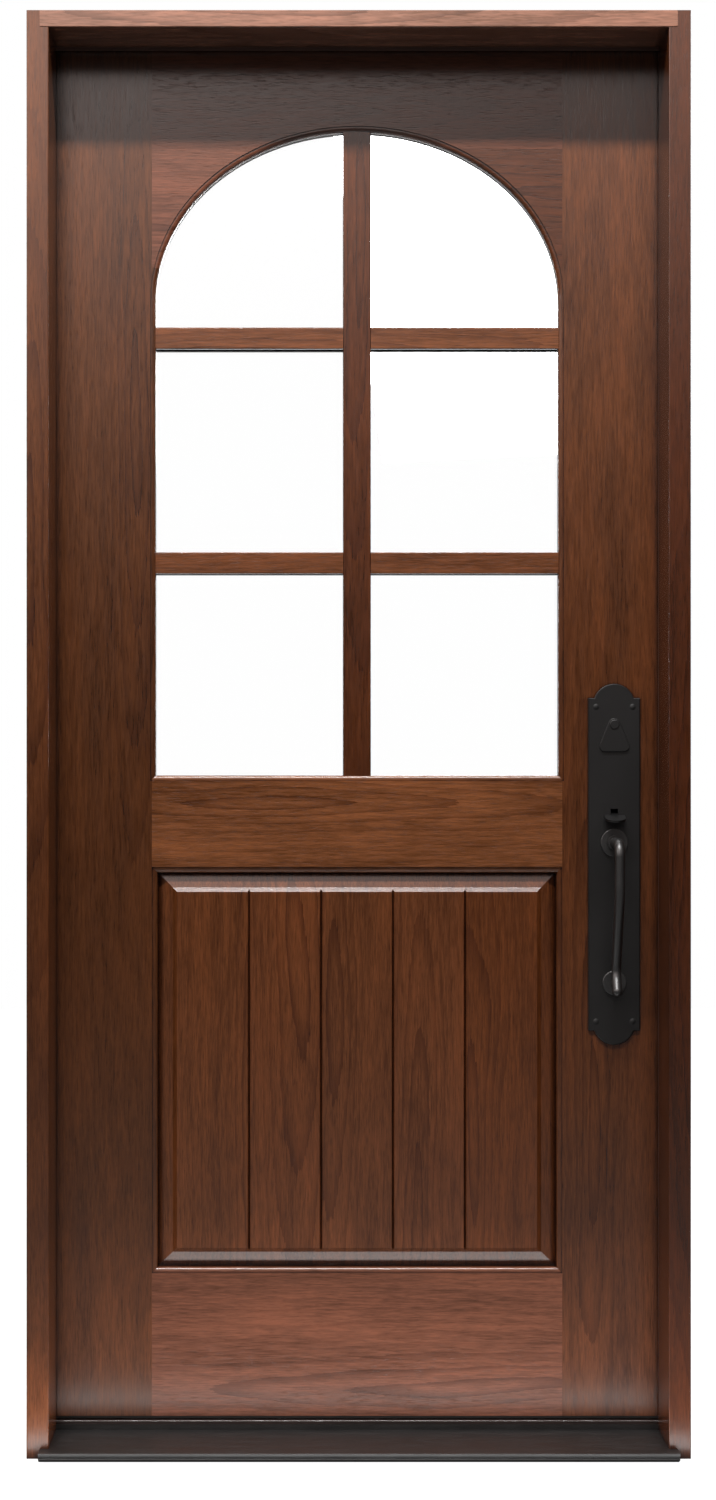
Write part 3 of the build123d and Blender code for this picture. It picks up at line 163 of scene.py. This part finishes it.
HUE_SHARE = 0.34
MOTTLE_SHARE = 0.36
FIBRE_SHARE = 0.30
TONE_RANGE = (0.38, 0.62)
DARK_TINT = (0.74, 0.68, 0.54)
LIGHT_TINT = (1.20, 1.20, 1.22)
RING_TINT = (0.42, 0.34, 0.26, 1)
RING_START = 0.60
RING_RAGGED = 0.35
RING_FAR = 0.22
RING_BREAKS = (0.30, 0.50, 0.3, 1.0)
EYE_STRETCH = 13.0
EYE_WANDER = 0.08
EYE_REACH = 0.07
PORE_TINT = (0.62, 0.58, 0.52, 1)
PORE_RANGE = (0.58, 0.72)
PORE_DEPTH = 0.7
# Painted light: the heights over which the wood is made paler towards the sill, and its tint
PAINTED_FOOT_LIGHT_HEIGHTS = (0.33, 0.04)
PAINTED_FOOT_LIGHT_TINT = (2.35, 2.45, 3.0, 1)
# Painted shade: how far the occlusion reaches, its range and the dark tint it paints into grooves
# and joints
PAINTED_SHADE_REACH = 0.012
PAINTED_SHADE_RANGE = (0.42, 0.94)
PAINTED_SHADE_TINT = (0.16, 0.11, 0.08, 1)
VARNISH = (0.3, 0.7, 0.20, 0.27)
FIBRE_HEIGHT = 0.5
GRAIN_RELIEF = (0.2, 0.0003)


def rings(shader, across, lengthways, eye, spacing, figure, mottle, fibre):
    """Growth rings: closed ovals about the eye, bent by slow noise and fading away from it."""
    eye_along, eye_across = eye
    bend = shader.math("MULTIPLY", shader.math("SUBTRACT", figure, 0.5), EYE_WANDER)
    width = shader.math("ADD", shader.math("SUBTRACT", across, eye_across), bend)
    length = shader.math("SUBTRACT", lengthways, eye_along)
    length = shader.math("DIVIDE", length, EYE_STRETCH)
    squares = [shader.math("MULTIPLY", side, side) for side in (width, length)]
    radius = shader.math("SQRT", shader.math("ADD", *squares))
    rag = shader.math("MULTIPLY", mottle, spacing * RING_RAGGED)
    phase = shader.math("DIVIDE", shader.math("ADD", radius, rag), spacing)
    ring = shader.spread(shader.math("FRACT", phase), RING_START, 1.0)
    fade = shader.spread(radius, EYE_REACH, 0.0, RING_FAR, 1.0)
    patchy = shader.math("MULTIPLY", shader.spread(fibre, *RING_BREAKS), fade)
    return shader.math("MULTIPLY", ring, patchy)


def wood(name, along, seed, shade, eye, spacing):
    """Stained, satin varnished wood: the fibres run along the named axis, around one long eye,
    with painted light towards the sill and painted shade in grooves.
    """
    shader = Shader(name)
    place = shader.position()
    turned = shader.mapping(place, turn=ALONG[along])
    offset = tuple(seed * step for step in LOG_STEP)
    layers = (FIGURE, MOTTLE, FIBRE, HUE, PORE)
    figure, mottle, fibre, hue, pore = [shader.noise(turned, *layer, offset) for layer in layers]

    hue = shader.math("MULTIPLY", hue, HUE_SHARE)
    tone = shader.math("ADD", hue, shader.math("MULTIPLY", mottle, MOTTLE_SHARE))
    tone = shader.math("ADD", tone, shader.math("MULTIPLY", fibre, FIBRE_SHARE))
    dark, light = tinted(shade, DARK_TINT), tinted(shade, LIGHT_TINT)
    stops = [(0.0, dark), (0.5, colour(*shade)), (1.0, light)]
    grain = shader.ramp(shader.spread(tone, *TONE_RANGE), stops)

    split = shader.add("ShaderNodeSeparateXYZ")
    shader.feed(split.inputs[0], place)
    aside, height = split.outputs["X"], split.outputs["Z"]
    across, lengthways = (height, aside) if along == "x" else (aside, height)
    lines = rings(shader, across, lengthways, eye, spacing, figure, mottle, fibre)
    grain = shader.mix("MULTIPLY", lines, grain, RING_TINT)
    pits = shader.spread(pore, *PORE_RANGE)
    grain = shader.mix("MULTIPLY", shader.math("MULTIPLY", pits, PORE_DEPTH), grain, PORE_TINT)

    # Painted light: the wood is made paler towards the sill
    grain = shader.mix("MULTIPLY", shader.spread(height, *PAINTED_FOOT_LIGHT_HEIGHTS), grain, PAINTED_FOOT_LIGHT_TINT)
    # Painted shade: ambient occlusion darkens the wood inside grooves, gaps and joints
    painted_shade = shader.math("SUBTRACT", 1.0, shader.occlusion_shade(PAINTED_SHADE_REACH, *PAINTED_SHADE_RANGE))
    grain = shader.mix("MULTIPLY", painted_shade, grain, PAINTED_SHADE_TINT)

    shader.set(Base_Color=grain, Roughness=shader.spread(mottle, *VARNISH))
    relief = shader.math("SUBTRACT", shader.math("MULTIPLY", fibre, FIBRE_HEIGHT), pits)
    shader.bump(relief, *GRAIN_RELIEF)
    return shader.material


# Each member: its grain's axis, its screen colour, its eye (along and across the grain, metres)
# and the spacing of its rings
WOODS = {
    "jamb_left": ("z", (74, 39, 17), (1.300, -0.470), 0.013),
    "jamb_right": ("z", (58, 26, 8), (0.700, 0.480), 0.013),
    "head_jamb": ("x", (101, 68, 53), (-0.120, 2.075), 0.013),
    # The threshold cap is darkened nearly to black: painted shade under the door's bottom edge
    "threshold_cap": ("x", (22, 13, 9), (0.100, 0.000), 0.013),
    "stile_left": ("z", (68, 36, 15), (1.500, -0.330), 0.013),
    "stile_right": ("z", (72, 38, 17), (0.450, 0.350), 0.013),
    "top_rail": ("x", (76, 42, 27), (-0.270, 1.965), 0.013),
    "arch_corner_left": ("x", (85, 49, 34), (-0.400, 1.800), 0.013),
    "arch_corner_right": ("x", (59, 28, 10), (0.360, 1.840), 0.013),
    "lock_rail": ("x", (102, 60, 33), (-0.130, 0.935), 0.012),
    "bottom_rail": ("x", (89, 51, 32), (0.160, 0.085), 0.016),
    "panel_plank_1": ("z", (85, 46, 22), (0.520, -0.150), 0.013),
    "panel_plank_2": ("z", (87, 47, 23), (0.700, -0.085), 0.013),
    "panel_plank_3": ("z", (84, 46, 23), (0.630, -0.040), 0.013),
    "panel_plank_4": ("z", (86, 47, 24), (0.300, 0.085), 0.013),
    "panel_plank_5": ("z", (81, 42, 18), (0.450, 0.170), 0.013),
    "bar_outer_vertical": ("z", (65, 31, 11), (1.780, 0.006), 0.013),
    "bars_outer_cross": ("x", (87, 49, 26), (-0.200, 1.600), 0.013),
    "bar_inner_vertical": ("z", (65, 32, 14), (1.600, -0.004), 0.013),
    "bars_inner_cross": ("x", (87, 50, 29), (0.100, 1.630), 0.013),
    "glass_stop_left": ("z", (72, 40, 22), (1.200, -0.300), 0.013),
    "glass_stop_right": ("z", (72, 40, 22), (1.400, 0.300), 0.013),
    "glass_stop_bottom": ("x", (72, 40, 22), (0.000, 0.980), 0.013),
    "glass_stop_arch": ("x", (72, 40, 22), (0.000, 1.930), 0.013),
}


def dress(name, material):
    """Give a CAD node its material."""
    for slot in nodes[name].material_slots:
        slot.material = material


for index, (name, (along, shade, eye, spacing)) in enumerate(WOODS.items()):
    dress(name, wood(f"wood_{name}", along, index + 1, shade, eye, spacing))


# Metal, glass and rubber

NOISE_RANGE = (0.3, 0.7)
CLOUD_SCALE = (9, 9, 9)
CLOUD_RANGE = (0.35, 0.65)
CLOUD_LIFT = (1.35, 0.001)
SKIN_UNEVEN = 0.06
SKIN_RELIEF = (0.12, 0.0003)
LINE_SCALE = (700, 700, 3)
LINE_RANGE = (0.35, 0.7)
LINE_LIFT = (1.7, 0.01)
LINE_RELIEF = (0.15, 0.0002)
SCUFF_SCALE = (60, 60, 18)
SCUFF_DETAIL = (4.0, 0.7)
SCUFF_RANGE = (0.3, 0.8)
SMOOTHEST = 0.08
ROUGHEST = 0.1
# Painted shade in metal grooves: how far the occlusion reaches, and its range
GROOVE_PAINTED_SHADE_REACH = 0.025
GROOVE_PAINTED_SHADE_RANGE = (0.3, 0.9, 0.06)
RIPPLE_SCALE = (2, 2, 2)
RIPPLE_ROUGHNESS = 0.02
GLASS_IOR = 1.2


def coated(name, shade, roughness, grain, specular=0.5):
    """Powder coated or cast metal, rubber or plastic, with a fine uneven skin."""
    shader = Shader(name)
    place = shader.position()
    speckle = shader.noise(place, (grain, grain, grain))
    cloud = shader.spread(shader.noise(place, CLOUD_SCALE, 2.0), *CLOUD_RANGE)
    skin = shader.mix("MIX", cloud, shade, lifted(shade, *CLOUD_LIFT))
    uneven = (roughness - SKIN_UNEVEN, roughness + SKIN_UNEVEN)
    rough = shader.spread(speckle, *NOISE_RANGE, *uneven)
    shader.set(Base_Color=skin, Roughness=rough, Specular_IOR_Level=specular)
    shader.bump(speckle, *SKIN_RELIEF)
    return shader.material


def drawn(name, shade, roughness, along, metallic=1.0):
    """Extruded or brushed metal with fine lines along one axis, scuffs and painted shade in its
    grooves.
    """
    shader = Shader(name)
    turned = shader.mapping(shader.position(), turn=ALONG[along])
    lines = shader.noise(turned, LINE_SCALE)
    scuffs = shader.noise(turned, SCUFF_SCALE, *SCUFF_DETAIL)
    worn = shader.spread(scuffs, *SCUFF_RANGE)
    tone = shader.math("MULTIPLY", shader.spread(lines, *LINE_RANGE), worn)
    skin = shader.mix("MIX", tone, shade, lifted(shade, *LINE_LIFT))
    # Painted shade: ambient occlusion darkens the metal inside its grooves
    skin = shader.mix("MULTIPLY", 1.0, skin, shader.occlusion_shade(GROOVE_PAINTED_SHADE_REACH, *GROOVE_PAINTED_SHADE_RANGE))
    uneven = (roughness - SMOOTHEST, roughness + ROUGHEST)
    rough = shader.spread(scuffs, *NOISE_RANGE, *uneven)
    shader.set(Base_Color=skin, Roughness=rough, Metallic=metallic)
    shader.bump(lines, *LINE_RELIEF)
    return shader.material


def clear_glass(name):
    """Clear glass, with a low index so that it bends the view little."""
    shader = Shader(name)
    ripple = shader.noise(shader.position(), RIPPLE_SCALE, 1.0)
    rough = shader.spread(ripple, *NOISE_RANGE, 0.0, RIPPLE_ROUGHNESS)
    shader.set(Base_Color=WHITE, Roughness=rough, Transmission_Weight=1.0, IOR=GLASS_IOR)
    return shader.material


black = coated("black_coat", colour(11, 11, 11), 0.40, 900, specular=0.28)
forged = coated("black_forged", colour(24, 24, 24), 0.36, 700)
steel = drawn("plain_steel", colour(150, 150, 152), 0.35, "z")
sill_metal = drawn("sill_metal", colour(25, 25, 25), 0.42, "x", metallic=0.15)
brass = drawn("plain_brass", colour(178, 140, 80), 0.3, "z")
plastic = coated("black_plastic", colour(30, 30, 30), 0.6, 500)
foam = coated("seal_skin", colour(58, 38, 30), 0.7, 300)
rubber = coated("sweep_rubber", colour(28, 28, 28), 0.65, 400)
bronze = coated("spacer_bronze", colour(26, 20, 17), 0.6, 500, specular=0.2)
screw_black = coated("screw_black", colour(13, 13, 13), 0.6, 900, specular=0.2)
glass = clear_glass("clear_glass")

FITTINGS = {
    "outer_plate": black, "outer_plate_screws": screw_black, "grip": forged,
    "thumb_piece": black, "keyhole_cover": black, "inner_plate": black, "inner_lever": black,
    "thumb_turn": black, "face_plate": black, "strike_plate": black, "hinge_pins": black,
    "jamb_hinge_screws": black, "door_hinge_screws": black, "strike_screws": black,
    "lock_screws": black, "lock_case": steel, "latch_bolt": steel, "dead_bolt": steel,
    "frame_screws": steel, "cylinder": brass, "key_plug": brass, "sill_tread": sill_metal,
    "sill_base": plastic, "weatherstrip_left": foam, "weatherstrip_right": foam,
    "weatherstrip_head": foam, "door_sweep": rubber, "glass_outer": glass,
    "glass_inner": glass, "glass_spacer": bronze,
}
for side in ("jamb", "door"):
    for height in ("bottom", "middle", "top"):
        FITTINGS[f"{side}_leaf_{height}"] = black
for name, material in FITTINGS.items():
    dress(name, material)


# Studio: a pale floor, a white backdrop in the world, and soft lights at the door's head and foot

FLOOR_SIZE = 16.0
FLOOR_ALBEDO = 0.22
FLOOR_LIFT = 0.95
FLOOR_MIRRORED = 0.1

half = FLOOR_SIZE / 2
corners = [(-half, -half, 0), (half, -half, 0), (half, half, 0), (-half, half, 0)]
floor_mesh = bpy.data.meshes.new("floor")
floor_mesh.from_pydata(corners, [], [(0, 1, 2, 3)])
floor = bpy.data.objects.new("floor", floor_mesh)
bpy.context.collection.objects.link(floor)

# The floor glows white for the camera and through the glass, and only faintly in reflections
floor_shader = Shader("floor_white")
rays = floor_shader.add("ShaderNodeLightPath").outputs
seen = floor_shader.math("MAXIMUM", rays["Is Camera Ray"], rays["Is Transmission Ray"])
lift = floor_shader.math("MULTIPLY", seen, FLOOR_LIFT)
mirrored = floor_shader.math("MULTIPLY", rays["Is Glossy Ray"], FLOOR_MIRRORED)
floor_shader.set(Base_Color=(FLOOR_ALBEDO, FLOOR_ALBEDO, FLOOR_ALBEDO, 1), Roughness=0.9,
                 Specular_IOR_Level=0.1, Emission_Color=WHITE,
                 Emission_Strength=floor_shader.math("MAXIMUM", lift, mirrored))
floor.data.materials.append(floor_shader.material)

# The room is dim at eye level and bright overhead, and the backdrop behind the door is white
ROOM_CEILING = 3.8
ROOM_COLOUR = (1.0, 0.88, 0.84, 1)
ROOM_FILL = 0.14
ROOM_OVERHEAD = 0.7
ROOM_LEFT = 1.2
ROOM_RIGHT = 0.5
CEILING_SLOPES = (0.14, 0.30)
OVERHEAD_SLOPES = (0.34, 0.65)
SIDE_SLOPES = (-0.1, 0.1)

world = bpy.data.worlds.new("studio")
bpy.context.scene.world = world
world.use_nodes = True
world.node_tree.nodes.clear()
room = Graph(world.node_tree)

direction = room.add("ShaderNodeSeparateXYZ")
room.feed(direction.inputs[0], room.add("ShaderNodeTexCoord").outputs["Generated"])
rays = room.add("ShaderNodeLightPath").outputs
slope = room.math("ABSOLUTE", direction.outputs["Z"])
shares = (
    room.spread(slope, *CEILING_SLOPES, 0.0, ROOM_CEILING, curve="SMOOTHSTEP"),
    room.spread(slope, *OVERHEAD_SLOPES, 1.0, ROOM_OVERHEAD, curve="SMOOTHSTEP"),
    room.spread(direction.outputs["X"], *SIDE_SLOPES, ROOM_LEFT, ROOM_RIGHT),
    room.spread(rays["Is Glossy Ray"], 0.0, 1.0, ROOM_FILL, 1.0),
)
room_level = 1.0
for share in shares:
    room_level = room.math("MULTIPLY", room_level, share)
behind = room.math("GREATER_THAN", direction.outputs["Y"], 0.0)
seen = room.math("MAXIMUM", rays["Is Camera Ray"], rays["Is Transmission Ray"])
seen = room.math("MAXIMUM", seen, room.math("MULTIPLY", rays["Is Glossy Ray"], behind))
choose = room.add("ShaderNodeMixShader")
room.feed(choose.inputs["Fac"], seen)
for place, shade, strength in ((1, ROOM_COLOUR, room_level), (2, WHITE, 1.0)):
    light = room.add("ShaderNodeBackground")
    room.feed(light.inputs["Color"], shade)
    room.feed(light.inputs["Strength"], strength)
    room.feed(choose.inputs[place], light.outputs[0])
room.feed(room.add("ShaderNodeOutputWorld").inputs["Surface"], choose.outputs[0])


def soft_light(name, place, target, size, power):
    """A rectangular lamp that points at a place and is not seen itself."""
    lamp = bpy.data.lights.new(name, "AREA")
    lamp.shape = "RECTANGLE"
    lamp.size, lamp.size_y = size
    lamp.energy = power
    holder = bpy.data.objects.new(name, lamp)
    holder.location = place
    aim = Vector(target) - Vector(place)
    holder.rotation_euler = aim.to_track_quat("-Z", "Y").to_euler()
    holder.visible_camera = False
    bpy.context.collection.objects.link(holder)


# Each lamp: its place, where it points, its width and height, and its power in watts
LAMPS = {
    "head_light": ((-0.04, -1.15, 3.37), (0.0, 0.1, 1.6), (1.5, 0.12), 140),
    "foot_light": ((0.0, -0.085, 0.004), (0.0, -0.085, 1.0), (1.0, 0.09), 1.5),
    "left_light": ((-3.0, 1.3, 1.8), (0.0, 0.1, 1.0), (1.2, 1.8), 50),
    "right_light": ((3.0, 1.3, 1.8), (0.0, 0.1, 1.0), (1.2, 1.8), 50),
    "back_light": ((1.2, 3.2, 2.6), (0.0, 0.1, 1.0), (2.5, 1.5), 110),
}
for name, settings in LAMPS.items():
    soft_light(name, *settings)


# Camera: at the photograph's place, straight on, with its framing made by the lens shift

CAMERA_PLACE = (-0.077, -3.8, 0.95)
LONG_SIDE = 1500
FOCAL_PIXELS = 2652
SENSOR = 36.0
SHIFT_RIGHT = 53
SHIFT_UP = 45.9

camera_data = bpy.data.cameras.new("camera")
camera_data.sensor_width = SENSOR
camera_data.lens = SENSOR * FOCAL_PIXELS / LONG_SIDE
camera_data.shift_x = SHIFT_RIGHT / LONG_SIDE
camera_data.shift_y = SHIFT_UP / LONG_SIDE
camera = bpy.data.objects.new("camera", camera_data)
camera.location = CAMERA_PLACE
camera.rotation_euler = (radians(90), 0, 0)
bpy.context.collection.objects.link(camera)
bpy.context.scene.camera = camera
bpy.context.scene.view_settings.view_transform = "Standard"
